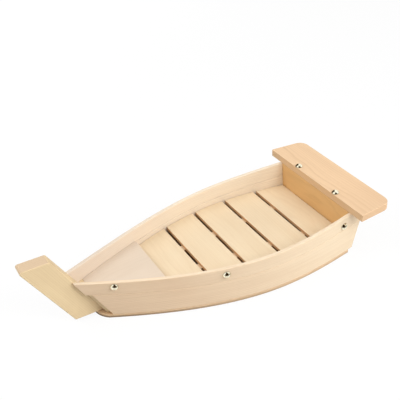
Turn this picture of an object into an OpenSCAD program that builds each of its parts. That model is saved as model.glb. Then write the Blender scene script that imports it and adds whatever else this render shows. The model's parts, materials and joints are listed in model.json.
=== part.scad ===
// Serving boat of pale softwood: bent planks on a flat bottom board, a raked stem plank,
// a stern board on the transom and a slatted deck that lifts out.
// +X runs aft, -Y is the port side and +Z is up. The origin lies on the table, under the
// middle of the overall length.

/* [Overall] */
// Length from the tip of the stem to the rear edge of the stern board
overall_l = 450; // [375:1:560]
// Width of the stern board along its front edge, the widest piece
stern_board_w = 197; // [164:1:240]

/* [Hull] */
// Width over the planks at the widest section
hull_beam = 175.5; // [160:0.5:212]
// Width over the planks at the transom
transom_beam = 156; // [130:0.5:188]
// Distance of the widest section ahead of the transom
widest_ahead = 100; // [70:1:130]
// Angle between a plank and the centre line at the stem
entry_angle = 24.5; // [18:0.5:30]
// Angle between a plank and the centre line at the transom
run_angle = 9.3; // [4:0.1:14]
// Height of the plank edge at the stem
side_h_bow = 60; // [54:0.5:72]
// Height of the plank edge amidships
side_h_mid = 54.5; // [50:0.5:66]
// Height of the plank edge at the transom
side_h_stern = 63.5; // [55:0.5:76]
// How much further out the top edge of a side stands than its bottom edge, at the stem
flare_bow = 10; // [2:0.5:12]
// The same at the widest section
flare_mid = 2; // [0:0.1:5]
// The same at the transom
flare_stern = 3.6; // [0:0.1:6]
// Thickness of the side planks
plank_t = 5; // [3.5:0.1:6]
// Height of the upper plank
strake_h = 19; // [15:0.5:23]
// Thickness of the bottom board
bottom_t = 4.5; // [3.5:0.1:6]
// How far the bottom board stands out past the planks
bottom_proud = 0.3; // [0:0.1:2]
// How far the bottom board reaches ahead of the stem's rear edge
bottom_lead = 11; // [6:0.5:16]
// How far the bottom board reaches under the transom
bottom_lap = 3.5; // [2:0.5:7]

/* [Stem] */
// Height of the stem's top
stem_top_z = 97.5; // [85:0.5:118]
// Angle of the stem above the horizontal
stem_rake = 60; // [52:0.5:70]
// Width of the stem plank, square to its length
stem_w = 32; // [24:0.1:38]
// Thickness of the stem plank
stem_t = 18; // [12:0.5:22]
// Radius of the stem's top corners
stem_round = 3; // [1:0.5:6]
// How far the upper planks lap over the stem's sides
strake_lap = 1.5; // [1:0.5:6]
// How far the lower planks stop behind the stem's rear edge
plank_setback = 4.8; // [1:0.1:10]
// How far the top of the block behind the stem reaches past the lower planks' ends
bow_block_lap = 1.5; // [1:0.5:6]
// Height of the top of that block
bow_block_z = 41.2; // [40:0.1:52]

/* [Decks] */
// Length of the slatted deck, from the transom to the foredeck
deck_l = 239; // [200:1:285]
// Height of the slats' upper face
deck_z = 29.5; // [25:0.5:35]
// Thickness of the slats
slat_t = 4.5; // [3.5:0.5:6]
// Width of the slots between the slats
slat_gap = 5; // [4:0.5:7]
// How much wider the foremost slat is than the middle ones, taken from the aftmost
slat_shift = 3; // [0:0.5:6]
// Gap all round the slatted deck
deck_clear = 0.6; // [0.4:0.1:1.5]
// Width of the two battens under the slats
batten_w = 10; // [7:0.5:14]
// Distance between the battens' middle lines at their fore ends
batten_fore = 35; // [30:1:45]
// Distance between the battens' middle lines at their aft ends
batten_aft = 78; // [60:1:90]
// Height of the foredeck's upper face at its aft edge
foredeck_z = 38.2; // [34:0.2:40]
// How much higher the foredeck lies at its tip
foredeck_rise = 3; // [0:0.1:4]
// Thickness of the foredeck
foredeck_t = 8.5; // [6:0.5:10]
// Thickness of the bulkhead under the foredeck
bulkhead_t = 8; // [5:0.5:12]

/* [Stern] */
// Thickness of the transom
transom_t = 7; // [5:0.5:10]
// Depth of the stern board, front to rear
stern_board_d = 50; // [42:1:60]
// Thickness of the stern board
stern_board_t = 10; // [7:0.5:12]
// How much each end of the stern board draws in at the rear edge
stern_board_taper = 5; // [0:0.5:12]
// Radius of the stern board's rear corners
stern_board_round = 13; // [6:0.5:18]
// How far the planks run past the transom's inner face at the bottom
aft_overhang = 10; // [8:0.5:14]
// Angle at which the planks' aft ends lean back
aft_rake = 13.5; // [0:0.5:18]

/* [Fasteners] */
// Diameter of a dome tack's head
tack_d = 8; // [6:0.5:10]
// Height of a dome tack's head
tack_h = 2.8; // [2:0.1:3.5]
// Diameter of a dome tack's shank
tack_shank_d = 1.4; // [1:0.1:2]
// Length of the side tacks' shanks
side_tack_l = 4; // [3:0.1:4.5]
// Distance of the foremost side tack behind the stem
tack_from_stem = 40; // [25:1:60]
// Distance of the aftmost side tack ahead of the transom
tack_from_transom = 11; // [6:1:30]
// Place of the middle side tack between the other two, 0 at the foremost
tack_mid_share = 0.42; // [0.3:0.01:0.7]
// Length of the stern board tacks' shanks
stern_tack_l = 18; // [14:1:24]
// Distance between the two stern board tacks
stern_tack_pitch = 79; // [60:1:110]
// Distance of those tacks behind the stern board's front edge
stern_tack_inset = 4.6; // [2:0.1:5]
// Diameter of a bottom brad's head
brad_head_d = 3; // [2:0.1:3.5]
// Thickness of a bottom brad's head
brad_head_t = 0.8; // [0.5:0.1:1.2]
// Diameter of a bottom brad's shank
brad_d = 1.2; // [0.8:0.1:1.6]
// Length of a bottom brad
brad_l = 16; // [10:1:22]
// Number of bottom brads along each side
brad_count = 6; // [4:1:9]

/* [Hidden] */
// Distances of the side tacks below the plank edge, the foremost first
tack_drop = [6.5, 8.7, 12.5];
// Gaps between glued pieces, at the seam of two planks, round a shank, under a tack's head and
// under the battens
fit_gap = 0.2;
seam_gap = 0.1;
shank_gap = 0.05;
seat_gap = 0.05;
deck_seat_gap = 0.2;
// How far a cut reaches past the face it starts from, and the radius of an eased corner
cut_past = 1;
ease_r = 1;
// Steps along a plank, along the sides of a fitted board and round a corner, and for a slope
plank_steps = 36;
board_steps = 8;
corner_steps = 10;
slope_step = 0.5;
slat_count = 5;

pale_wood = "#ecd2a8";
fair_wood = "#f0d9b4";
warm_wood = "#e8c59c";
grey_wood = "#e6d9c0";
bright_metal = "#d9d9d6";

// Lengthwise places
transom_x = overall_l / 2 - stern_board_d;
widest_x = transom_x - widest_ahead;
foredeck_aft_x = transom_x - deck_l;
stem_tip_x = -overall_l / 2 - stem_round * (1 / tan(stem_rake / 2) - 1);
stem_run = stem_w / sin(stem_rake);
foredeck_under = foredeck_z - foredeck_t;
bulkhead_x = foredeck_aft_x - bulkhead_t;
slat_under = deck_z - slat_t;
slat_w = (deck_l - 2 * deck_clear - (slat_count - 1) * slat_gap) / slat_count;

// The stem's front and rear edges lean forward as they rise
function stem_front_x(z) = stem_tip_x + (stem_top_z - z) / tan(stem_rake);
function stem_rear_x(z) = stem_front_x(z) + stem_run;
bow_x = stem_rear_x(side_h_bow);
bow_half = stem_t / 2 + plank_t / cos(entry_angle);
// The block behind the stem takes a third of the room to the bulkhead, and less above the foredeck
bow_block_l = (bulkhead_x - stem_rear_x(bottom_t)) / 3;
bow_block_top_l = plank_setback + bow_block_lap;
// The foredeck's fore end follows the stem, and its underside rises towards it over the block's step
function foredeck_fore_x(z) = stem_rear_x(z + foredeck_rise) + bow_block_top_l + fit_gap;
foredeck_under_l = foredeck_aft_x - foredeck_fore_x(foredeck_under);
block_to_foredeck_aft = foredeck_aft_x - stem_rear_x(foredeck_under) - bow_block_l;
bow_block_step_z = foredeck_under + foredeck_rise * block_to_foredeck_aft / foredeck_under_l;

function lerp(a, b, k) = a + (b - a) * k;

// A smooth run from y0 with slope m0 to y1 with slope m1, over the length l
function fair(y0, m0, y1, m1, l, s) =
    y0 * (2 * s ^ 3 - 3 * s ^ 2 + 1) + m0 * l * (s ^ 3 - 2 * s ^ 2 + s)
    + y1 * (3 * s ^ 2 - 2 * s ^ 3) + m1 * l * (s ^ 3 - s ^ 2);

// Half the hull's width over the planks, along their top edges
function half_beam(x) =
    x < bow_x ? bow_half + (x - bow_x) * tan(entry_angle)
    : x < widest_x ? fair(bow_half, tan(entry_angle), hull_beam / 2, 0,
                          widest_x - bow_x, (x - bow_x) / (widest_x - bow_x))
    : x < transom_x ? fair(hull_beam / 2, 0, transom_beam / 2, -tan(run_angle),
                           widest_ahead, (x - widest_x) / widest_ahead)
    : transom_beam / 2 - (x - transom_x) * tan(run_angle);
function beam_slope(x) = (half_beam(x + slope_step) - half_beam(x - slope_step)) / (2 * slope_step);

// Height of the planks' top edge: lowest amidships, level where the stern board lies on it
function sheer_curve(s) =
    side_h_bow * (2 * s ^ 2 - 3 * s + 1) + side_h_mid * 4 * (s - s ^ 2) + side_h_stern * (2 * s ^ 2 - s);
function sheer_z(x) = x > transom_x ? side_h_stern : sheer_curve((x - bow_x) / (transom_x - bow_x));

// Flare grows from the widest section towards both ends
function flare(x) =
    x < widest_x ? flare_mid + (flare_bow - flare_mid) * ((widest_x - x) / (widest_x - bow_x)) ^ 3
    : flare_mid + (flare_stern - flare_mid) * ((x - widest_x) / widest_ahead) ^ 2;

// Outer and inner faces of a side at the place x and the height z
function lean_per_mm(x) = flare(x) / (sheer_z(x) - bottom_t);
function outer_y(x, z) = half_beam(x) - (sheer_z(x) - z) * lean_per_mm(x);
function inner_y(x, z) = max(stem_t / 2, outer_y(x, z) - plank_t * sqrt(1 + beam_slope(x) ^ 2));

// Long edges of the planks: 0 bottom, 1 top of the lower plank, 2 foot of the upper one, 3 top
function edge_z(edge, x) =
    edge == 0 ? bottom_t
    : edge == 1 ? sheer_z(x) - strake_h - seam_gap
    : edge == 2 ? sheer_z(x) - strake_h
    : sheer_z(x);

// The fore end of an edge follows the stem's rake, and the aft end the planks' own rake
function edge_fore_x(edge, shift, x = bow_x, tries = 6) =
    tries == 0 ? x : edge_fore_x(edge, shift, stem_rear_x(edge_z(edge, x)) + shift, tries - 1);
function edge_aft_x(edge) =
    transom_x + aft_overhang + (edge_z(edge, transom_x + slope_step) - bottom_t) * tan(aft_rake);

// Corners of a plank at one station: outer foot, outer top, inner top, inner foot
function plank_ring(foot, top, shift, k) =
    let (x0 = lerp(edge_fore_x(foot, shift), edge_aft_x(foot), k),
         x1 = lerp(edge_fore_x(top, shift), edge_aft_x(top), k),
         z0 = edge_z(foot, x0),
         z1 = edge_z(top, x1))
    [[x0, outer_y(x0, z0), z0], [x1, outer_y(x1, z1), z1],
     [x1, inner_y(x1, z1), z1], [x0, inner_y(x0, z0), z0]];

// One bent plank on the starboard side, between two edges
module bent_plank(foot, top, shift) {
    rings = [for (i = [0 : plank_steps]) plank_ring(foot, top, shift, i / plank_steps)];
    last = 4 * plank_steps;
    walls = [for (i = [0 : plank_steps - 1], j = [0 : 3])
        let (a = 4 * i + j, b = 4 * i + (j + 1) % 4)
        each [[a, a + 4, b + 4], [a, b + 4, b]]];
    polyhedron([for (ring = rings) each ring],
               concat(walls, [[0, 1, 2], [0, 2, 3]],
                      [[last, last + 2, last + 1], [last, last + 3, last + 2]]), convexity = 4);
}

// A board cut to fit between the sides: fore and aft hold its ends at the heights z[0] and z[1],
// and its fore end may lie higher
module fitted_board(fore, aft, z, gap, rise = 0) {
    n = board_steps;
    rows = [for (level = [0, 1]) [for (i = [0 : n])
        let (x = lerp(fore[level], aft[level], i / n), h = z[level] + rise * (1 - i / n))
        [x, inner_y(x, h) - gap, h]]];
    loops = [for (row = rows) concat(row, [for (i = [n : -1 : 0]) [row[i][0], -row[i][1], row[i][2]]])];
    m = 2 * n + 2;
    walls = [for (i = [0 : m - 1])
        let (j = (i + 1) % m) each [[i, j + m, j], [i, i + m, j + m]]];
    foot = [for (i = [0 : n - 1]) each [[i, i + 1, m - 2 - i], [i, m - 2 - i, m - 1 - i]]];
    lid = [for (f = foot) [f[0] + m, f[2] + m, f[1] + m]];
    polyhedron(concat(loops[0], loops[1]), concat(walls, foot, lid), convexity = 4);
}

// An outline with each corner rounded by its own radius
function unit(v) = v / norm(v);
function round_corner(a, p, b, r) =
    let (u = unit(a - p), w = unit(b - p), turn = acos(u * w), side = sign(u[0] * w[1] - u[1] * w[0]),
         centre = p + unit(u + w) * r / sin(turn / 2), start = -unit(u + w), sweep = 180 - turn)
    r == 0 ? [p]
    : [for (i = [0 : corner_steps])
        let (angle = side * sweep * (0.5 - i / corner_steps))
        centre + r * [start[0] * cos(angle) - start[1] * sin(angle),
                      start[0] * sin(angle) + start[1] * cos(angle)]];
function rounded(corners, radii) =
    let (n = len(corners))
    [for (i = [0 : n - 1])
        each round_corner(corners[(i + n - 1) % n], corners[i], corners[(i + 1) % n], radii[i])];

module on_side(side) {
    if (side < 0) mirror([0, 1, 0]) children();
    else children();
}

// Places on the outside of a side, with the children's Z axis pointing square out of it
module at_side_tacks() {
    fore = bow_x + tack_from_stem;
    aft = transom_x - tack_from_transom;
    places = [fore, lerp(fore, aft, tack_mid_share), aft];
    for (i = [0 : len(places) - 1]) {
        x = places[i];
        z = sheer_z(x) - tack_drop[i];
        out = unit([-beam_slope(x), 1, -lean_per_mm(x)]);
        translate([x, outer_y(x, z), z])
            rotate([0, acos(out[2]), atan2(out[1], out[0])]) children();
    }
}

module at_stern_tacks() {
    for (side = [-1, 1])
        translate([transom_x + stern_tack_inset, side * stern_tack_pitch / 2, side_h_stern + stern_board_t])
            children();
}

module at_bottom_brads(side) {
    fore = edge_fore_x(0, plank_setback) + 2 * plank_t;
    aft = transom_x - 2 * plank_t;
    for (i = [0 : brad_count - 1]) {
        x = lerp(fore, aft, i / (brad_count - 1));
        translate([x, side * (outer_y(x, bottom_t) + inner_y(x, bottom_t)) / 2, 0]) children();
    }
}

module dome_tack(shank_l) {
    ball_r = (tack_d ^ 2 / 4 + tack_h ^ 2) / (2 * tack_h);
    translate([0, 0, seat_gap]) intersection() {
        translate([0, 0, tack_h - ball_r]) sphere(r = ball_r, $fn = 48);
        cylinder(d = 2 * tack_d, h = 2 * tack_h, $fn = 48);
    }
    translate([0, 0, -shank_l]) cylinder(d = tack_shank_d, h = shank_l + tack_h / 2, $fn = 24);
}

// A hole for the shank, with a spot face where a hollow side would stand under the head
module tack_hole(depth) {
    translate([0, 0, -depth]) cylinder(d = tack_shank_d + 2 * shank_gap, h = 2 * depth, $fn = 24);
    translate([0, 0, seat_gap / 2]) cylinder(d = tack_d + 2 * shank_gap, h = tack_h, $fn = 48);
}

module bottom_brad() {
    cylinder(d = brad_head_d, h = brad_head_t, $fn = 24);
    cylinder(d = brad_d, h = brad_l, $fn = 24);
}

module brad_hole() {
    translate([0, 0, -cut_past]) {
        cylinder(d = brad_head_d + 2 * shank_gap, h = brad_head_t + cut_past, $fn = 24);
        cylinder(d = brad_d + 2 * shank_gap, h = brad_l + cut_past + shank_gap, $fn = 24);
    }
}

module bottom_board() {
    tail_x = transom_x + bottom_lap;
    nose_x = stem_rear_x(bottom_t);
    edge = [for (i = [0 : plank_steps])
        let (x = lerp(nose_x, tail_x, i / plank_steps)) [x, outer_y(x, bottom_t) + bottom_proud]];
    nose_r = (edge[0][1] ^ 2 + bottom_lead ^ 2) / (2 * bottom_lead);
    nose_sweep = asin(edge[0][1] / nose_r);
    nose = [for (i = [1 : 2 * corner_steps - 1])
        let (angle = nose_sweep * (1 - i / corner_steps))
        [nose_x - bottom_lead + nose_r * (1 - cos(angle)), -nose_r * sin(angle)]];
    color(pale_wood) difference() {
        linear_extrude(bottom_t)
            polygon(concat(edge, [for (i = [plank_steps : -1 : 0]) [edge[i][0], -edge[i][1]]], nose));
        for (side = [-1, 1]) at_bottom_brads(side) brad_hole();
    }
}

module lower_plank(side) {
    color(fair_wood) difference() {
        on_side(side) bent_plank(0, 1, plank_setback);
        at_bottom_brads(side) brad_hole();
    }
}

module gunwale_strake(side) {
    color(fair_wood) on_side(side) difference() {
        bent_plank(2, 3, -strake_lap);
        at_side_tacks() tack_hole(side_tack_l + shank_gap);
    }
}

module stem_plank() {
    corners = [[stem_front_x(bottom_t), bottom_t], [stem_rear_x(bottom_t), bottom_t],
               [stem_rear_x(stem_top_z), stem_top_z], [stem_tip_x, stem_top_z]];
    color(pale_wood) translate([0, stem_t / 2, 0]) rotate([90, 0, 0]) linear_extrude(stem_t)
        polygon(rounded(corners, [stem_round / 2, 0, stem_round, stem_round]));
}

// A wedge between the planks, stepped down where the foredeck lies on it
module bow_block() {
    low = [bottom_t, bow_block_step_z];
    high = [bow_block_step_z, bow_block_z];
    color(pale_wood) union() {
        fitted_board([for (z = low) stem_rear_x(z)],
                     [for (z = low) stem_rear_x(z) + bow_block_l], low, fit_gap);
        fitted_board([for (z = high) stem_rear_x(z)],
                     [for (z = high) stem_rear_x(z) + bow_block_top_l], high, fit_gap);
    }
}

module foredeck() {
    z = [foredeck_under, foredeck_z];
    color(grey_wood) fitted_board([for (h = z) foredeck_fore_x(h)], [foredeck_aft_x, foredeck_aft_x],
                                  z, fit_gap, foredeck_rise);
}

module foredeck_bulkhead() {
    color(pale_wood) fitted_board([bulkhead_x, bulkhead_x], [foredeck_aft_x, foredeck_aft_x],
                                  [bottom_t, foredeck_under], fit_gap);
}

module transom() {
    color(warm_wood) difference() {
        fitted_board([transom_x, transom_x], [transom_x + transom_t, transom_x + transom_t],
                     [bottom_t, side_h_stern], fit_gap);
        at_stern_tacks() tack_hole(stern_tack_l + shank_gap);
    }
}

module stern_board() {
    half = stern_board_w / 2;
    rear_x = transom_x + stern_board_d;
    corners = [[transom_x, -half], [rear_x, stern_board_taper - half],
               [rear_x, half - stern_board_taper], [transom_x, half]];
    color(warm_wood) difference() {
        translate([0, 0, side_h_stern]) linear_extrude(stern_board_t)
            polygon(rounded(corners, [ease_r, stern_board_round, stern_board_round, ease_r]));
        at_stern_tacks() tack_hole(stern_tack_l + shank_gap);
    }
}

// Slat 1 lies next to the foredeck and the last one next to the transom
module deck_slat(number) {
    fore = foredeck_aft_x + deck_clear + (number - 1) * (slat_w + slat_gap) + (number > 1 ? slat_shift : 0);
    aft = fore + slat_w + (number == 1 ? slat_shift : number == slat_count ? -slat_shift : 0);
    edge = [for (i = [0 : board_steps])
        let (x = lerp(fore, aft, i / board_steps)) [x, inner_y(x, slat_under) - deck_clear]];
    color(fair_wood) translate([0, 0, slat_under]) linear_extrude(slat_t)
        polygon(concat(edge, [for (i = [board_steps : -1 : 0]) [edge[i][0], -edge[i][1]]]));
}

// The battens carry the slats, stand on the bottom board and spread towards the stern
module deck_batten(side) {
    fore = [foredeck_aft_x + 2 * deck_clear, batten_fore / 2];
    aft = [transom_x - 3 * deck_clear, batten_aft / 2];
    spread = atan2(aft[1] - fore[1], aft[0] - fore[0]);
    inset = batten_w / 2 * sin(spread);
    foot = bottom_t + deck_seat_gap;
    color(pale_wood) on_side(side) translate([fore[0], fore[1], foot]) rotate([0, 0, spread])
        translate([inset, -batten_w / 2, 0])
            cube([norm(aft - fore) - 2 * inset, batten_w, slat_under - foot]);
}

module strake_tacks(side) {
    color(bright_metal) on_side(side) at_side_tacks() dome_tack(side_tack_l);
}

module stern_board_tacks() {
    color(bright_metal) at_stern_tacks() dome_tack(stern_tack_l);
}

module bottom_brads() {
    color(bright_metal) for (side = [-1, 1]) at_bottom_brads(side) bottom_brad();
}

bottom_board();
lower_plank(-1);  // port_lower_plank
lower_plank(1);  // starboard_lower_plank
gunwale_strake(-1);  // port_gunwale_strake
gunwale_strake(1);  // starboard_gunwale_strake
stem_plank();
bow_block();
foredeck();
foredeck_bulkhead();
transom();
stern_board();
for (number = [1 : slat_count])
    deck_slat(number);
deck_batten(-1);  // port_deck_batten
deck_batten(1);  // starboard_deck_batten
strake_tacks(-1);  // port_strake_tacks
strake_tacks(1);  // starboard_strake_tacks
stern_board_tacks();
bottom_brads();
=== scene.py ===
"""A wooden sushi boat: planed softwood boards with eased edges and bright dome tacks."""

import json
import math

import bmesh
import bpy
import numpy as np
from mathutils import Matrix, Vector


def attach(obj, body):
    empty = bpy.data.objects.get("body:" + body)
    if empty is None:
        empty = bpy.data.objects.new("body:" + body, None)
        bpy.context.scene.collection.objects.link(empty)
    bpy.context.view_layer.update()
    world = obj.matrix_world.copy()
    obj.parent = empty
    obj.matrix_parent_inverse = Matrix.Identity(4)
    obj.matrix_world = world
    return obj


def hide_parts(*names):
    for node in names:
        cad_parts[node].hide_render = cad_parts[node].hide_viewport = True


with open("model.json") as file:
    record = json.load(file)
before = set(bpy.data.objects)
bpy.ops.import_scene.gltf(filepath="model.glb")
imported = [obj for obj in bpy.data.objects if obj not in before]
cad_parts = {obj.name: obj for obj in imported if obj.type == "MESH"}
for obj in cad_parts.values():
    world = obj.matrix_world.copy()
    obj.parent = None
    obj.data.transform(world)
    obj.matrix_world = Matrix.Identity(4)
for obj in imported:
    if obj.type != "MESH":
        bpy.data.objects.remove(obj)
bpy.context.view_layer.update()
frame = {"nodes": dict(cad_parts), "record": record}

MM = 0.001
LENGTHWAYS = Vector((1, 0, 0))
CROSSWAYS = Vector((0, 1, 0))
UPRIGHT = Vector((0, 0, 1))
STEM_RAKE = math.radians(60)
UP_THE_STEM = Vector((-math.cos(STEM_RAKE), 0, math.sin(STEM_RAKE)))

# A board's blank: how near points are merged, and how flat faces are joined.
MERGE = 0.002 * MM
FLAT = math.radians(0.3)

# Eased edges: the least turn of an edge that is rounded, and the width of faces that are left alone.
SHARP = math.radians(35)
THIN = 0.02 * MM
EASE_STEPS = 3
EASE_PROFILE = 0.5

# Faces that turn less than this are shaded as one.
SMOOTH = math.radians(42)

# How squarely a face meets a direction, as a cosine, to count as cut across it.
SQUARE_ON = 0.8

# The curve fitted to a bent plank.
SWEEP_STATIONS = 40
SWEEP_DEGREE = 6

# Share of a fastener's greatest width that belongs to the rim of its head.
RIM_SHARE = 0.9

# Dome tacks. The seat is the depth of the wood's face under the apex of the CAD dome.
TACK_HEAD_R = 5.1 * MM
TACK_HEAD_H = 3.5 * MM
TACK_SEAT = 2.8 * MM
TACK_LIP = 0.35 * MM
TACK_PIN_R = 0.6 * MM
TACK_POINT = 0.25
DOME_TURNS = 48
TACK_PINS = {
    "port_strake_tacks": 3.6 * MM,
    "starboard_strake_tacks": 3.6 * MM,
    "stern_board_tacks": 17 * MM,
}

# Grime and painted contact shade round the foot of each dome.
GRIME_AND_SHADE_TOP = 0.6 * MM
GRIME_AND_SHADE_FADE = 0.4 * MM
GRIME_AND_SHADE_TONE = (0.24, 0.17, 0.09, 1)
GRIME_AND_SHADE_DEPTH = 0.85
GRIME_AND_SHADE_ROUGH = 0.2

# Room kept clear of eased edges round each kind of fastener's hole.
HOLE_ROOM = {
    "port_strake_tacks": 5.0 * MM,
    "starboard_strake_tacks": 5.0 * MM,
    "stern_board_tacks": 2.0 * MM,
    "bottom_brads": 1.9 * MM,
}
HOLE_REACH = 20 * MM

# Noise in wood: its scale along the grain and both ways across it, per mm, its detail and roughness.
WANDER = ((0.006, 0.016, 0.016), 1.0)
RIPPLE = ((0.03, 0.12, 0.12), 2.0)
BLOTCH = ((0.011, 0.035, 0.035), 2.0)
FIBRE = ((0.05, 2.2, 2.2), 3.0, 0.6)
STREAK = ((0.009, 0.42, 0.42), 2.0)
FLECK = ((0.09, 1.3, 1.3), 1.0)
NOISE_MEAN = 0.5

# Growth rings: width and sideways wander in mm, the tone across one ring, and how years differ.
RING_WIDTH = 1.9
RING_DEPTH = 0.4
WANDER_REACH = 14
RIPPLE_REACH = 1.6
RING_TONE = [(0.0, 0.25), (0.12, 0.0), (0.55, 0.12), (0.88, 1.0), (1.0, 0.25)]
YEAR_LEAST = 0.3
YEAR_RANGE = 0.7
END_RING_DEPTH = 0.25

# How strongly each mark in the wood takes its own tone.
BLOTCH_TONE = [(0.3, 0.0), (0.7, 1.0)]
STREAK_TONE = [(0.35, 0.0), (0.75, 1.0)]
FLECK_TONE = [(0.66, 0.0), (0.74, 1.0)]
# Where along the board the body's tone drifts to its last end's tone, which is painted light.
LIGHT_DRIFT = (0.3, 0.85)
# Sawn edges take a tone of painted light and shade.
SAWN_LIGHT_AND_SHADE_DEPTH = 0.85
STREAK_DEPTH = 0.16
FLECK_DEPTH = 0.18
FIBRE_DEPTH = 0.16
END_OWN_DEPTH = 0.6
END_LINE_DEPTH = 0.2
# Eased edges are paler, partly from wear and partly as a painted highlight.
EASED_WEAR_AND_HIGHLIGHT_DEPTH = 0.18
EASED_WEAR_AND_HIGHLIGHT_LIFT = 1.06

# Gloss and relief of planed wood.
WOOD_ROUGH = 0.56
FIBRE_ROUGH = 0.22
RING_ROUGH = 0.06
EASED_ROUGH = 0.05
END_ROUGH = 0.12
WOOD_SPECULAR = 0.35
FIBRE_RELIEF = 0.5
RING_RELIEF = 0.35
FLECK_RELIEF = 0.4
WOOD_BUMP = 0.22
WOOD_BUMP_DEPTH = 0.15 * MM

# Painted contact shade along the bottom board's lower edge, where it stands on the table: its height, and
# how it fades towards the stern.
FOOT_SHADE_HEIGHT = 2.6 * MM
FOOT_SHADE_DEPTH = 0.9
FOOT_SHADE_REACH = 170 * MM
FOOT_SHADE_LEAN = [(0.1, 0.0), (0.4, 1.0)]
FOOT_SHADE_RISE = [(0.3, 1.0), (0.7, 0.0)]
FOOT_SHADE_RUN = [(0.05, 1.0), (0.75, 0.25)]

# Smears and fine marks on metal; the smears' dark tone is also painted reflection of dark surroundings.
SMEAR = ((420, 420, 420), 3.0)
SCRATCH = ((1500, 6000, 1500), 2.0)
SMEAR_AND_REFLECTION_TONE = [(0.45, 0.0), (0.65, 1.0)]
SMEAR_ROUGH = 0.2
SCRATCH_ROUGH = 0.04
METAL_BUMP = 0.05
METAL_BUMP_DEPTH = 0.02 * MM

# The view: its turn, height, roll and lens, and in mm the point that it faces and the way back from it.
VIEW_TURN = math.radians(-27.35)
VIEW_HEIGHT = math.radians(33.44)
VIEW_ROLL = math.radians(-3.35)
VIEW_LENS = 65.29
VIEW_SENSOR = 36
VIEW_AIM = Vector((4.57, 0, 104.2))
VIEW_AWAY = 874.96

# Each soft box: its place and width in metres, and its power in watts.
LAMPS = {
    "key": ((0.42, -1.25, 1.25), 0.9, 17),
    "stern_low": ((1.45, -1.0, 0.4), 0.8, 10.5),
    "bow_fill": ((-1.12, 0.42, 1.2), 1.0, 12.5),
    "far_low": ((0.1, 1.5, 0.28), 0.8, 6.0),
}
LAMP_AIM = Vector((0, 0, 0.03))

# The white surroundings, and the share of the floor's own glow that hides all but a soft shadow.
WHITE = (1, 1, 1, 1)
SKY_LEVEL = 0.47
FLOOR_SIZE = 6
FLOOR_DROP = 0.1 * MM
FLOOR_PAINT = (0.6, 0.6, 0.6, 1)
FLOOR_GLOW = 1.06
FLOOR_GLOW_SHARE = 0.86

# The dark gap in the light tent that the tacks reflect, in slopes from straight abeam: its middle,
# foot and top, and how much it widens below its top. On the floor it starts at an edge, in metres.
GAP_TONE = (0.036, 0.018, 0.004, 1)
GAP_MIDDLE = -0.4
GAP_FOOT = -0.3
GAP_TOP = 4.0
GAP_SPREAD = 0.26
LEAST_ABEAM = 0.001
FLOOR_EDGE = 0.175


def only(piece):
    """Selects one piece and nothing else."""
    if bpy.context.mode != "OBJECT":
        bpy.ops.object.mode_set(mode="OBJECT")
    bpy.ops.object.select_all(action="DESELECT")
    bpy.context.view_layer.objects.active = piece
    piece.select_set(True)


def edit(piece, kind):
    """Opens one piece in edit mode with nothing selected."""
    only(piece)
    bpy.ops.object.mode_set(mode="EDIT")
    bpy.ops.mesh.select_mode(type=kind)
    bpy.ops.mesh.select_all(action="DESELECT")


def done():
    """Leaves edit mode."""
    bpy.ops.object.mode_set(mode="OBJECT")


def add_piece(name, mesh):
    """A new object at the origin that shows a mesh."""
    piece = bpy.data.objects.new(name, mesh)
    bpy.context.scene.collection.objects.link(piece)
    return piece


def blank(node, name):
    """A copy of a CAD piece as one merged mesh, ready to be worked."""
    mesh = frame["nodes"][node].data.copy()
    mesh.materials.clear()
    piece = add_piece(name, mesh)
    edit(piece, "VERT")
    bpy.ops.mesh.select_all(action="SELECT")
    bpy.ops.mesh.customdata_custom_splitnormals_clear()
    bpy.ops.mesh.remove_doubles(threshold=MERGE)
    bpy.ops.mesh.dissolve_limited(angle_limit=FLAT)
    done()
    return piece


def points_of(mesh):
    """The places of a mesh's vertices, one row each."""
    places = np.zeros(len(mesh.vertices) * 3)
    mesh.vertices.foreach_get("co", places)
    return places.reshape(-1, 3)


def fasteners(node):
    """The apex and outward axis of each fastener in a CAD node."""
    piece = blank(node, node + "_loose")
    edit(piece, "VERT")
    bpy.ops.mesh.select_all(action="SELECT")
    bpy.ops.mesh.separate(type="LOOSE")
    done()
    found = []
    for part in list(bpy.context.selected_objects):
        places = points_of(part.data)
        middle = places.mean(0)
        # The axis is the direction whose spread is least like the other two.
        spread, turns = np.linalg.eigh(np.cov((places - middle).T))
        lone = 0 if spread[1] - spread[0] > spread[2] - spread[1] else 2
        axis = Vector(turns[:, lone]).normalized()
        # It points outwards when the head's rim is nearer to its upper end.
        reach = (places - middle) @ np.array(axis)
        widths = np.linalg.norm(places - middle - np.outer(reach, axis), axis=1)
        rim = reach[widths > widths.max() * RIM_SHARE].mean()
        if reach.max() - rim > rim - reach.min():
            axis, reach = -axis, -reach
        found.append((Vector(middle) + axis * reach.max(), axis))
        mesh = part.data
        bpy.data.objects.remove(part)
        bpy.data.meshes.remove(mesh)
    return sorted(found, key=lambda place: tuple(place[0]))


holes = {node: fasteners(node) for node in HOLE_ROOM}


def by_a_hole(place):
    """Whether a place lies on the rim of a fastener's hole."""
    for node, room in HOLE_ROOM.items():
        for apex, axis in holes[node]:
            away = place - apex
            along = away.dot(axis)
            if abs(along) < HOLE_REACH and (away - axis * along).length < room:
                return True
    return False


def sliver(face):
    """Whether a face is too thin to have an edge that sandpaper could round."""
    return face.calc_area() < THIN * max(edge.calc_length() for edge in face.edges)


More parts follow.
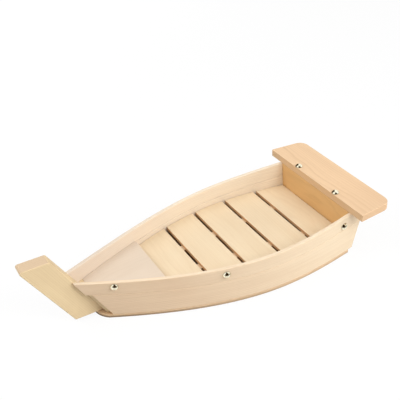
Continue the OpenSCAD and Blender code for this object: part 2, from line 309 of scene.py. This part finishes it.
def ease(piece, width):
    """Rounds a board's sharp edges as sandpaper does, and marks the new faces."""
    edit(piece, "EDGE")
    cage = bmesh.from_edit_mesh(piece.data)
    thin = {point for face in cage.faces if sliver(face) for point in face.verts}
    for edge in cage.edges:
        corner = edge.is_manifold and edge.calc_face_angle() > SHARP
        middle = (edge.verts[0].co + edge.verts[1].co) / 2
        edge.select_set(corner and thin.isdisjoint(edge.verts) and not by_a_hole(middle))
    cage.select_flush_mode()
    bmesh.update_edit_mesh(piece.data)
    bpy.ops.mesh.bevel(offset=width, segments=EASE_STEPS, profile=EASE_PROFILE, clamp_overlap=False)
    bpy.ops.mesh.select_mode(type="FACE")
    done()
    rounded = [float(face.select) for face in piece.data.polygons]
    piece.data.attributes.new("eased", "FLOAT", "FACE").data.foreach_set("value", rounded)


def shade(piece):
    """Smooth shading that keeps the broad faces flat."""
    only(piece)
    bpy.ops.object.shade_smooth_by_angle(angle=SMOOTH)
    weighted = piece.modifiers.new("flat_faces", "WEIGHTED_NORMAL")
    weighted.keep_sharp = True
    bpy.ops.object.modifier_apply(modifier=weighted.name)


def mark_grain(piece, grain, along, edgeways):
    """Writes each point's place in the log and along the board, and marks end cuts and sawn edges."""
    mesh = piece.data
    mesh.attributes.new("grain", "FLOAT_VECTOR", "POINT").data.foreach_set("vector", grain.ravel())
    ends = [float(abs(face.normal.dot(along(face.center))) > SQUARE_ON) for face in mesh.polygons]
    mesh.attributes.new("end_cut", "FLOAT", "FACE").data.foreach_set("value", ends)
    sawn = [float(abs(face.normal.dot(edgeways)) > SQUARE_ON) for face in mesh.polygons]
    mesh.attributes.new("sawn", "FLOAT", "FACE").data.foreach_set("value", sawn)
    reach = grain[:, 0] - grain[:, 0].min()
    mesh.attributes.new("run", "FLOAT", "POINT").data.foreach_set("value", reach / reach.max())


def straight_grain(piece, along, through, pith, start):
    """Grain of a straight board, sawn at a distance from the pith, in mm."""
    across = through.cross(along)
    places = points_of(piece.data) / MM
    grain = places @ np.array([along, across, through]).T
    grain += np.array([start, -pith[0], -pith[1]])
    mark_grain(piece, grain, lambda place: along, across)


def bent_grain(piece, pith, start):
    """Grain of a bent plank, which follows the plank's own sweep, in mm."""
    places = points_of(piece.data) / MM
    side = np.sign(places[:, 1].mean())
    stations = np.linspace(places[:, 0].min(), places[:, 0].max(), SWEEP_STATIONS)
    order = np.argsort(places[:, 0])
    sweep_x, sweep_y = places[order, 0], np.abs(places[order, 1])
    fit = np.polynomial.Polynomial.fit(sweep_x, sweep_y, SWEEP_DEGREE)
    steps = np.hypot(np.diff(stations), np.diff(fit(stations)))
    lengths = np.concatenate([[0], np.cumsum(steps)])
    slope = fit.deriv()
    along = np.interp(places[:, 0], stations, lengths)
    through = (np.abs(places[:, 1]) - fit(places[:, 0])) / np.hypot(1, slope(places[:, 0]))
    grain = np.stack([along + start, places[:, 2] - pith[0], through - pith[1]], axis=1)

    def sweep(place):
        return Vector((1, side * slope(place.x / MM), 0)).normalized()

    mark_grain(piece, grain, sweep, UPRIGHT)


def dome_tack(pin_length):
    """One dome tack on the plane z = 0, with a turned-down lip and a pointed pin below."""
    ball = (TACK_HEAD_R ** 2 + TACK_HEAD_H ** 2) / (2 * TACK_HEAD_H)
    bpy.ops.object.select_all(action="DESELECT")
    bpy.ops.mesh.primitive_uv_sphere_add(segments=DOME_TURNS, ring_count=DOME_TURNS, radius=ball,
                                         location=(0, 0, TACK_HEAD_H - ball))
    tack = bpy.context.active_object
    bpy.ops.object.transform_apply(location=True, rotation=True, scale=True)
    edit(tack, "EDGE")
    bpy.ops.mesh.select_all(action="SELECT")
    bpy.ops.mesh.bisect(plane_co=(0, 0, TACK_LIP), plane_no=UPRIGHT, clear_inner=True)
    bpy.ops.mesh.extrude_edges_move(TRANSFORM_OT_translate={"value": (0, 0, -TACK_LIP)})
    bpy.ops.mesh.edge_face_add()
    bpy.ops.mesh.select_mode(type="FACE")
    bpy.ops.mesh.inset(thickness=TACK_HEAD_R - TACK_PIN_R)
    bpy.ops.mesh.extrude_region_move(TRANSFORM_OT_translate={"value": (0, 0, -pin_length)})
    bpy.ops.transform.resize(value=(TACK_POINT, TACK_POINT, 1), center_override=(0, 0, -pin_length))
    bpy.ops.mesh.select_all(action="SELECT")
    bpy.ops.mesh.normals_make_consistent(inside=False)
    done()
    return tack


def tacks(node, pin_length):
    """A node's tacks, modelled once and set in their holes."""
    tack = dome_tack(pin_length)
    pattern = tack.data
    bpy.data.objects.remove(tack)
    # Grime and painted contact shade: darker towards the foot of the dome, where it meets the wood.
    grime = np.clip((GRIME_AND_SHADE_TOP - points_of(pattern)[:, 2]) / GRIME_AND_SHADE_FADE, 0, 1)
    pattern.attributes.new("grime", "FLOAT", "POINT").data.foreach_set("value", grime)
    copies = []
    for apex, axis in holes[node]:
        mesh = pattern.copy()
        turn = axis.to_track_quat("Z", "Y").to_matrix().to_4x4()
        mesh.transform(Matrix.Translation(apex - axis * TACK_SEAT) @ turn)
        copies.append(add_piece(node + "_domes", mesh))
    only(copies[0])
    for copy in copies[1:]:
        copy.select_set(True)
    bpy.ops.object.join()
    piece = bpy.context.active_object
    piece.name = node + "_domes"
    piece.data.materials.clear()
    bpy.ops.object.shade_smooth_by_angle(angle=SMOOTH)
    return piece


class Tone:
    """A shader value that takes part in plain arithmetic."""

    def __init__(self, finish, socket):
        self.finish = finish
        self.socket = socket

    def maths(self, operation, *others):
        """A Math node on this value and others, in that order."""
        return self.finish.maths(operation, self, *others)

    def __add__(self, other):
        return self.maths("ADD", other)

    def __radd__(self, other):
        return self.finish.maths("ADD", other, self)

    def __sub__(self, other):
        return self.maths("SUBTRACT", other)

    def __rsub__(self, other):
        return self.finish.maths("SUBTRACT", other, self)

    def __mul__(self, other):
        return self.maths("MULTIPLY", other)

    def __rmul__(self, other):
        return self.finish.maths("MULTIPLY", other, self)

    def __truediv__(self, other):
        return self.maths("DIVIDE", other)

    def __rtruediv__(self, other):
        return self.finish.maths("DIVIDE", other, self)


class Finish:
    """The nodes of one material, or of the surroundings."""

    def __init__(self, tree):
        self.tree = tree
        tree.nodes.clear()

    def add(self, kind, settings=None, sockets=None, out=0):
        """Adds a node: its settings first, then the values or links of its sockets."""
        node = self.tree.nodes.new(kind)
        for name, value in (settings or {}).items():
            if name == "stops":
                self.set_stops(node.color_ramp, value)
            else:
                setattr(node, name, value)
        for name, value in (sockets or {}).items():
            if isinstance(value, Tone):
                self.tree.links.new(value.socket, node.inputs[name])
            else:
                node.inputs[name].default_value = value
        return Tone(self, node.outputs[out]) if node.outputs else None

    def set_stops(self, ramp, stops):
        """Lays grey stops on a colour ramp."""
        while len(ramp.elements) < len(stops):
            ramp.elements.new(1.0)
        for element, (place, level) in zip(ramp.elements, stops):
            element.position = place
            element.color = (level, level, level, 1)

    def maths(self, operation, *values):
        """Plain arithmetic on values, at least one of them a shader value."""
        return self.add("ShaderNodeMath", {"operation": operation}, dict(enumerate(values)))

    def ramp(self, value, stops):
        """A level that follows a value through grey stops."""
        return self.add("ShaderNodeValToRGB", {"stops": stops}, {"Fac": value})

    def noise(self, place, stretch, detail=2.0, rough=0.5):
        """Noise on a place whose three directions are scaled by themselves."""
        scaled = self.add("ShaderNodeVectorMath", {"operation": "MULTIPLY"}, {0: place, 1: stretch})
        return self.add("ShaderNodeTexNoise", {},
                        {"Vector": scaled, "Scale": 1.0, "Detail": detail, "Roughness": rough})

    def mix(self, share, first, second):
        """A colour between two colours."""
        return self.add("ShaderNodeMix", {"data_type": "RGBA"}, {0: share, 6: first, 7: second}, 2)

    def attribute(self, name, out):
        """What a mesh has written on its points or faces."""
        return self.add("ShaderNodeAttribute", {"attribute_name": name}, out=out)

    def place(self, kind="Object"):
        """The place of a point, or the direction of a ray in the surroundings."""
        return self.add("ShaderNodeTexCoord", {}, {}, kind)

    def parts_of(self, place):
        """The three parts of a place or direction."""
        return [self.add("ShaderNodeSeparateXYZ", {}, {"Vector": place}, part) for part in "XYZ"]

    def foot_contact_shade(self):
        """Painted contact shade: 1 on upright faces just over the table, and less towards the stern."""
        aft, _, rise = self.parts_of(self.place())
        lean = self.parts_of(self.add("ShaderNodeNewGeometry", {}, {}, "Normal"))[2]
        upright = self.ramp(1 - lean.maths("ABSOLUTE"), FOOT_SHADE_LEAN)
        low = self.ramp(rise / (2 * FOOT_SHADE_HEIGHT), FOOT_SHADE_RISE)
        return upright * low * self.ramp((aft + FOOT_SHADE_REACH) / (2 * FOOT_SHADE_REACH), FOOT_SHADE_RUN)

    def ray(self, kind):
        """1 on rays of one kind."""
        return self.add("ShaderNodeLightPath", {}, {}, kind)

    def reflected(self):
        """1 on rays that a bright surface reflects."""
        return self.ray("Is Glossy Ray")

    def seen_directly(self):
        """1 on rays that show the surroundings as they are: to the eye, in metal and through glass."""
        mirrored = self.reflected().maths("MAXIMUM", self.ray("Is Transmission Ray"))
        return self.ray("Is Camera Ray").maths("MAXIMUM", mirrored)

    def relief(self, height, strength, depth):
        """Fine relief of a surface."""
        sockets = {"Strength": strength, "Distance": depth, "Height": height}
        return self.add("ShaderNodeBump", {}, sockets, "Normal")

    def surface(self, sockets):
        """The surface itself, which ends a material."""
        skin = self.add("ShaderNodeBsdfPrincipled", {}, sockets)
        self.add("ShaderNodeOutputMaterial", {}, {"Surface": skin})


def new_finish(name):
    """An empty material, and the nodes to fill it."""
    material = bpy.data.materials.new(name)
    material.use_nodes = True
    return material, Finish(material.node_tree)


def wood(name, pale, warm, line, ring=RING_WIDTH, ring_depth=RING_DEPTH, end=None, lit_end_tone=None, edge=None,
         light_drift=LIGHT_DRIFT, foot_shade=None):
    """Planed softwood: growth rings round the pith, fibres along the board, and darker end cuts.

    The body's tone may drift towards another at the last end of the board, as painted light that falls
    more on that end. End cuts may have their own tone, sawn edges a tone of painted light and shade, and
    the foot of a board that stands on the table painted contact shade."""
    material, make = new_finish(name)
    grain = make.attribute("grain", "Vector")
    end_cut = make.attribute("end_cut", "Fac")
    eased = make.attribute("eased", "Fac")

    wander = make.noise(grain, *WANDER) - NOISE_MEAN
    ripple = make.noise(grain, *RIPPLE) - NOISE_MEAN
    blotch = make.noise(grain, *BLOTCH)
    fibre = make.noise(grain, *FIBRE)
    streak = make.noise(grain, *STREAK)
    fleck = make.ramp(make.noise(grain, *FLECK), FLECK_TONE)

    flattened = make.add("ShaderNodeVectorMath", {"operation": "MULTIPLY"}, {0: grain, 1: (0, 1, 1)})
    from_pith = make.add("ShaderNodeVectorMath", {"operation": "LENGTH"}, {0: flattened}, "Value")
    rings = (from_pith + wander * WANDER_REACH + ripple * RIPPLE_REACH) / ring
    year = make.add("ShaderNodeTexWhiteNoise", {"noise_dimensions": "1D"}, {"W": rings.maths("FLOOR")})
    late = make.ramp(rings.maths("FRACT"), RING_TONE) * (year * YEAR_RANGE + YEAR_LEAST)

    body = make.mix(make.ramp(blotch, BLOTCH_TONE), pale, warm)
    # Painted light: the tone drifts towards the last end's tone, where more light falls.
    if lit_end_tone:
        light_drifted = make.ramp(make.attribute("run", "Fac"), [(light_drift[0], 0.0), (light_drift[1], 1.0)])
        body = make.mix(light_drifted, body, lit_end_tone)
    # Painted light and shade on sawn edges: the edge tone stands in for how direct and bounced light fall
    # on them.
    if edge:
        body = make.mix(make.attribute("sawn", "Fac") * SAWN_LIGHT_AND_SHADE_DEPTH, body, edge)
    body = make.mix(late * (ring_depth + end_cut * END_RING_DEPTH), body, line)
    body = make.mix(make.ramp(streak, STREAK_TONE) * STREAK_DEPTH, body, line)
    body = make.mix(fleck * FLECK_DEPTH, body, line)
    body = make.mix((fibre - NOISE_MEAN) * FIBRE_DEPTH + FIBRE_DEPTH / 2, body, line)
    body = make.mix(end_cut * (END_OWN_DEPTH if end else END_LINE_DEPTH), body, end or line)
    # Eased edges paler: wear, with a painted highlight.
    worn_and_highlit = tuple(min(1, channel * EASED_WEAR_AND_HIGHLIGHT_LIFT) for channel in pale[:3]) + (1,)
    body = make.mix(eased * EASED_WEAR_AND_HIGHLIGHT_DEPTH, body, worn_and_highlit)
    # Painted contact shade along the foot of a board that stands on the table.
    if foot_shade:
        body = make.mix(make.foot_contact_shade() * FOOT_SHADE_DEPTH, body, foot_shade)

    rough = WOOD_ROUGH + (fibre - NOISE_MEAN) * FIBRE_ROUGH - late * RING_ROUGH
    rough = rough - eased * EASED_ROUGH + end_cut * END_ROUGH
    height = fibre * FIBRE_RELIEF + late * RING_RELIEF - fleck * FLECK_RELIEF
    make.surface({
        "Base Color": body,
        "Roughness": rough,
        "Normal": make.relief(height, WOOD_BUMP, WOOD_BUMP_DEPTH),
        "Specular IOR Level": WOOD_SPECULAR,
    })
    return material


def bright_metal(name, colour, dark_smear_and_reflection, rough, smear_and_reflection):
    """Plated or drawn metal with faint smears and fine marks, the smears' dark tone partly painted
    reflection of dark surroundings, and grime with painted contact shade where a head meets the wood.
    """
    material, make = new_finish(name)
    cloud = make.noise(make.place(), *SMEAR)
    scratch = make.noise(make.place(), *SCRATCH)
    grime = make.attribute("grime", "Fac")
    # Smears darken the metal, partly as painted reflection of dark surroundings.
    body = make.mix(make.ramp(cloud, SMEAR_AND_REFLECTION_TONE) * smear_and_reflection, colour, dark_smear_and_reflection)
    # Painted contact shade, with grime, darkens the foot of each dome.
    body = make.mix(grime * GRIME_AND_SHADE_DEPTH, body, GRIME_AND_SHADE_TONE)
    level = rough + (cloud - NOISE_MEAN) * smear_and_reflection * SMEAR_ROUGH
    level = level + (scratch - NOISE_MEAN) * SCRATCH_ROUGH + grime * GRIME_AND_SHADE_ROUGH
    make.surface({
        "Base Color": body,
        "Roughness": level,
        "Normal": make.relief(scratch, METAL_BUMP, METAL_BUMP_DEPTH),
        "Metallic": 1.0,
    })
    return material


# Each wood: its pale and warm tones and its ring lines, then what differs from the common kind.
WOODS = {
    "plank_wood": wood(
        "plank_wood", (0.88, 0.68, 0.48, 1), (0.82, 0.61, 0.42, 1), (0.60, 0.40, 0.22, 1),
        lit_end_tone=(0.88, 0.735, 0.54, 1), edge=(0.90, 0.755, 0.57, 1)),
    "pale_plank_wood": wood(
        "pale_plank_wood", (0.755, 0.65, 0.535, 1), (0.725, 0.615, 0.50, 1), (0.60, 0.455, 0.325, 1),
        lit_end_tone=(0.925, 0.805, 0.635, 1), light_drift=(0.14, 0.55)),
    "slat_wood": wood(
        "slat_wood", (0.85, 0.70, 0.49, 1), (0.80, 0.64, 0.435, 1), (0.62, 0.43, 0.24, 1),
        ring=2.3, ring_depth=0.28, edge=(0.64, 0.285, 0.075, 1)),
    "stem_wood": wood(
        "stem_wood", (0.81, 0.64, 0.39, 1), (0.76, 0.59, 0.36, 1), (0.56, 0.38, 0.20, 1),
        ring=2.1, end=(0.61, 0.45, 0.325, 1)),
    "foredeck_wood": wood(
        "foredeck_wood", (0.75, 0.63, 0.505, 1), (0.715, 0.59, 0.465, 1), (0.62, 0.48, 0.35, 1),
        ring=2.6, ring_depth=0.25),
    "stern_wood": wood(
        "stern_wood", (0.79, 0.56, 0.355, 1), (0.76, 0.525, 0.33, 1), (0.58, 0.36, 0.19, 1),
        ring=2.2, lit_end_tone=(0.855, 0.605, 0.38, 1), light_drift=(0.0, 0.4), edge=(0.72, 0.485, 0.275, 1)),
    "transom_wood": wood(
        "transom_wood", (0.765, 0.485, 0.215, 1), (0.725, 0.44, 0.18, 1), (0.53, 0.30, 0.12, 1),
        ring=2.2),
    "bottom_wood": wood(
        "bottom_wood", (0.76, 0.56, 0.36, 1), (0.69, 0.49, 0.30, 1), (0.47, 0.30, 0.16, 1),
        ring=2.4, foot_shade=(0.20, 0.115, 0.055, 1)),
}
tack_metal = bright_metal(
    "tack_metal", (0.98, 0.93, 0.73, 1), (0.52, 0.42, 0.24, 1), rough=0.07, smear_and_reflection=0.65)
brad_metal = bright_metal(
    "brad_metal", (0.52, 0.51, 0.48, 1), (0.44, 0.43, 0.40, 1), rough=0.34, smear_and_reflection=0.9)

# Each straight board: its finish, eased edge in mm, direction of the grain, face direction, and in mm the
# place of the pith and the start along the log.
BOARDS = {
    "bottom_board": ("bottom_wood", 0.7, LENGTHWAYS, UPRIGHT, (14, -46), 0),
    "stem_plank": ("stem_wood", 1.2, UP_THE_STEM, CROSSWAYS, (-30, 38), 900),
    "bow_block": ("stem_wood", 0.3, LENGTHWAYS, UPRIGHT, (6, -30), 1500),
    "foredeck": ("foredeck_wood", 0.6, LENGTHWAYS, UPRIGHT, (-20, -38), 2100),
    "foredeck_bulkhead": ("bottom_wood", 0.4, CROSSWAYS, LENGTHWAYS, (10, -60), 2600),
    "transom": ("transom_wood", 0.5, CROSSWAYS, LENGTHWAYS, (0, -160), 3100),
    "stern_board": ("stern_wood", 0.8, CROSSWAYS, UPRIGHT, (-170, 20), 3700),
    "deck_slat_1": ("slat_wood", 0.3, CROSSWAYS, UPRIGHT, (36, -34), 4300),
    "deck_slat_2": ("slat_wood", 0.3, CROSSWAYS, UPRIGHT, (-60, 0), 4900),
    "deck_slat_3": ("slat_wood", 0.3, CROSSWAYS, UPRIGHT, (-60, -22), 5500),
    "deck_slat_4": ("slat_wood", 0.3, CROSSWAYS, UPRIGHT, (-150, -12), 6100),
    "deck_slat_5": ("slat_wood", 0.3, CROSSWAYS, UPRIGHT, (-140, -30), 6700),
    "port_deck_batten": ("slat_wood", 0.5, LENGTHWAYS, UPRIGHT, (-60, 10), 7300),
    "starboard_deck_batten": ("slat_wood", 0.5, LENGTHWAYS, UPRIGHT, (60, -10), 7900),
}

# Each bent plank: its finish and eased edge, and the pith and start as above.
PLANKS = {
    "port_lower_plank": ("plank_wood", 0.6, (-30, 42), 8500),
    "starboard_lower_plank": ("pale_plank_wood", 0.6, (80, -30), 9300),
    "port_gunwale_strake": ("plank_wood", 0.8, (110, 22), 10100),
    "starboard_gunwale_strake": ("pale_plank_wood", 0.8, (0, -36), 10900),
}


def body_of(node):
    """The body that carries a CAD node."""
    groups = frame["record"]["behaviour"]["bodies"]
    return next(name for name, members in groups.items() if node in members)


def set_in_place(piece, node, material):
    """Gives a piece its finish and lets it stand for its node."""
    piece.data.materials.append(material)
    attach(piece, body_of(node))
    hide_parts(node)


for node, (finish, width, along, through, pith, start) in BOARDS.items():
    board = blank(node, node + "_wood")
    ease(board, width * MM)
    straight_grain(board, along, through, pith, start)
    shade(board)
    set_in_place(board, node, WOODS[finish])

for node, (finish, width, pith, start) in PLANKS.items():
    plank = blank(node, node + "_wood")
    ease(plank, width * MM)
    bent_grain(plank, pith, start)
    shade(plank)
    set_in_place(plank, node, WOODS[finish])

for node, pin_length in TACK_PINS.items():
    set_in_place(tacks(node, pin_length), node, tack_metal)

# The brads keep their CAD shape.
brads = frame["nodes"]["bottom_brads"]
brads.data.materials.clear()
brads.data.materials.append(brad_metal)


def place_camera():
    """The photograph's view."""
    level = math.cos(VIEW_HEIGHT)
    back = Vector((math.sin(VIEW_TURN) * level, -math.cos(VIEW_TURN) * level, math.sin(VIEW_HEIGHT)))
    right = Vector((math.cos(VIEW_TURN), math.sin(VIEW_TURN), 0))
    up = back.cross(right)
    side = right * math.cos(VIEW_ROLL) + up * math.sin(VIEW_ROLL)
    top = up * math.cos(VIEW_ROLL) - right * math.sin(VIEW_ROLL)
    camera = bpy.data.objects.new("camera", bpy.data.cameras.new("camera"))
    camera.data.lens = VIEW_LENS
    camera.data.sensor_width = VIEW_SENSOR
    camera.matrix_world = Matrix((side, top, back)).transposed().to_4x4()
    camera.location = VIEW_AIM * MM + back * VIEW_AWAY * MM
    bpy.context.scene.collection.objects.link(camera)
    bpy.context.scene.camera = camera


def soft_lamp(name, place, size, power):
    """A square soft box that faces the boat and isn't itself seen in the tacks."""
    lamp = bpy.data.lights.new(name, "AREA")
    lamp.shape = "SQUARE"
    lamp.size = size
    lamp.energy = power
    holder = bpy.data.objects.new(name, lamp)
    holder.visible_glossy = False
    holder.location = place
    holder.rotation_euler = (LAMP_AIM - Vector(place)).to_track_quat("-Z", "Y").to_euler()
    bpy.context.scene.collection.objects.link(holder)


def lay_floor():
    """A pale floor that keeps the boat's soft shadow."""
    bpy.ops.object.select_all(action="DESELECT")
    bpy.ops.mesh.primitive_plane_add(size=FLOOR_SIZE, location=(0, 0, -FLOOR_DROP))
    floor = bpy.context.active_object
    floor.name = "floor"
    bpy.ops.object.transform_apply(location=True, rotation=True, scale=True)
    material, make = new_finish("floor_white")
    abeam = make.parts_of(make.place())[1].maths("ABSOLUTE")
    dark = abeam.maths("GREATER_THAN", FLOOR_EDGE) * make.reflected()
    paint = make.add("ShaderNodeBsdfDiffuse", {}, {"Color": FLOOR_PAINT}, "BSDF")
    glow = make.add("ShaderNodeEmission", {},
                    {"Color": make.mix(dark, WHITE, GAP_TONE), "Strength": FLOOR_GLOW}, "Emission")
    share = make.seen_directly() * FLOOR_GLOW_SHARE
    both = make.add("ShaderNodeMixShader", {}, {0: share, 1: paint, 2: glow}, "Shader")
    make.add("ShaderNodeOutputMaterial", {}, {"Surface": both})
    floor.data.materials.append(material)


def tent_gap(make):
    """1 in the dark gaps of the light tent, which the bright tacks reflect on both sides of the boat."""
    aside, out, rise = make.parts_of(make.place("Generated"))
    abeam = out.maths("ABSOLUTE") + LEAST_ABEAM
    steep = rise / abeam
    slant = (aside / abeam - GAP_MIDDLE).maths("ABSOLUTE")
    room = (GAP_TOP - steep) * GAP_SPREAD - slant
    above = steep - GAP_FOOT
    return room.maths("GREATER_THAN", 0.0) * above.maths("GREATER_THAN", 0.0)


def fill_sky():
    """White surroundings that light the boat at a plain level."""
    world = bpy.data.worlds.new("white_studio")
    bpy.context.scene.world = world
    world.use_nodes = True
    make = Finish(world.node_tree)
    with_gap = make.mix(make.reflected() * tent_gap(make), WHITE, GAP_TONE)
    lit = make.add("ShaderNodeBackground", {}, {"Color": WHITE, "Strength": SKY_LEVEL}, "Background")
    shown = make.add("ShaderNodeBackground", {}, {"Color": with_gap, "Strength": 1.0}, "Background")
    both = make.add("ShaderNodeMixShader", {}, {0: make.seen_directly(), 1: lit, 2: shown}, "Shader")
    make.add("ShaderNodeOutputWorld", {}, {"Surface": both})


place_camera()
lay_floor()
fill_sky()
for name, (place, size, power) in LAMPS.items():
    soft_lamp(name, place, size, power)
bpy.context.scene.view_settings.view_transform = "Standard"
